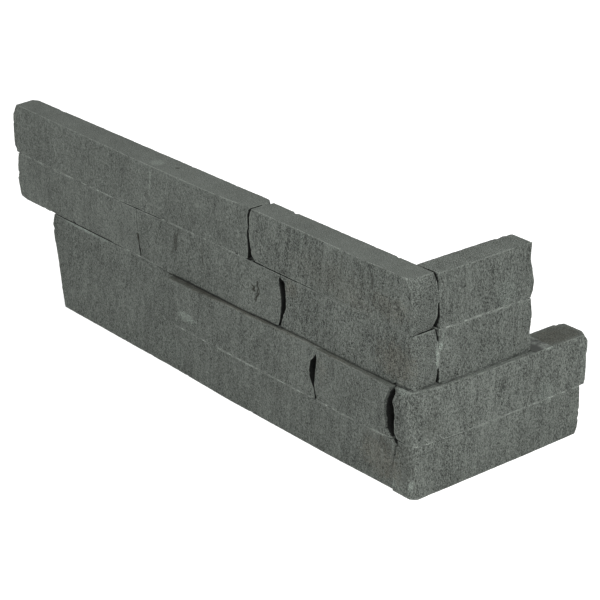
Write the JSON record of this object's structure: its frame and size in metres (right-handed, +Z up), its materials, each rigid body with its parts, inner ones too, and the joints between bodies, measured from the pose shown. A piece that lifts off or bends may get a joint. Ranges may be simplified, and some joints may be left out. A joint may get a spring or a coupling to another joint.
{
  "type": "stacked stone corner panel",
  "caption": "L-shaped wall-cladding corner panel of dark split-faced sandstone strips glued in courses, with stepped ends that interlock with the next panel.",
  "frame": {"origin": "foot of the inner corner, where the sawn backs of both legs meet the base", "axes": "+Z up through the courses; the long leg runs towards -X with its split face looking to -Y; the return runs towards +Y with its split face looking to +X"},
  "size_m": [0.471, 0.1573, 0.1524],
  "materials": {
    "sandstone": "rough split, sawn beds",
    "stone_glue": "matt"
  },
  "bodies": {
    "root": {"top_left_stone": "sandstone", "top_corner_stone": "sandstone", "second_left_stone": "sandstone", "second_middle_stone": "sandstone", "second_corner_stone": "sandstone", "jumper_stone": "sandstone", "third_left_stone": "sandstone", "third_right_stone": "sandstone", "bottom_long_stone": "sandstone", "top_return_stone": "sandstone", "second_return_stone": "sandstone", "third_return_stone": "sandstone", "bottom_return_stone": "sandstone", "top_glue_bed": "stone_glue", "middle_glue_bed": "stone_glue", "bottom_glue_bed": "stone_glue", "top_corner_glue": "stone_glue", "second_corner_glue": "stone_glue"}
  },
  "joints": []
}
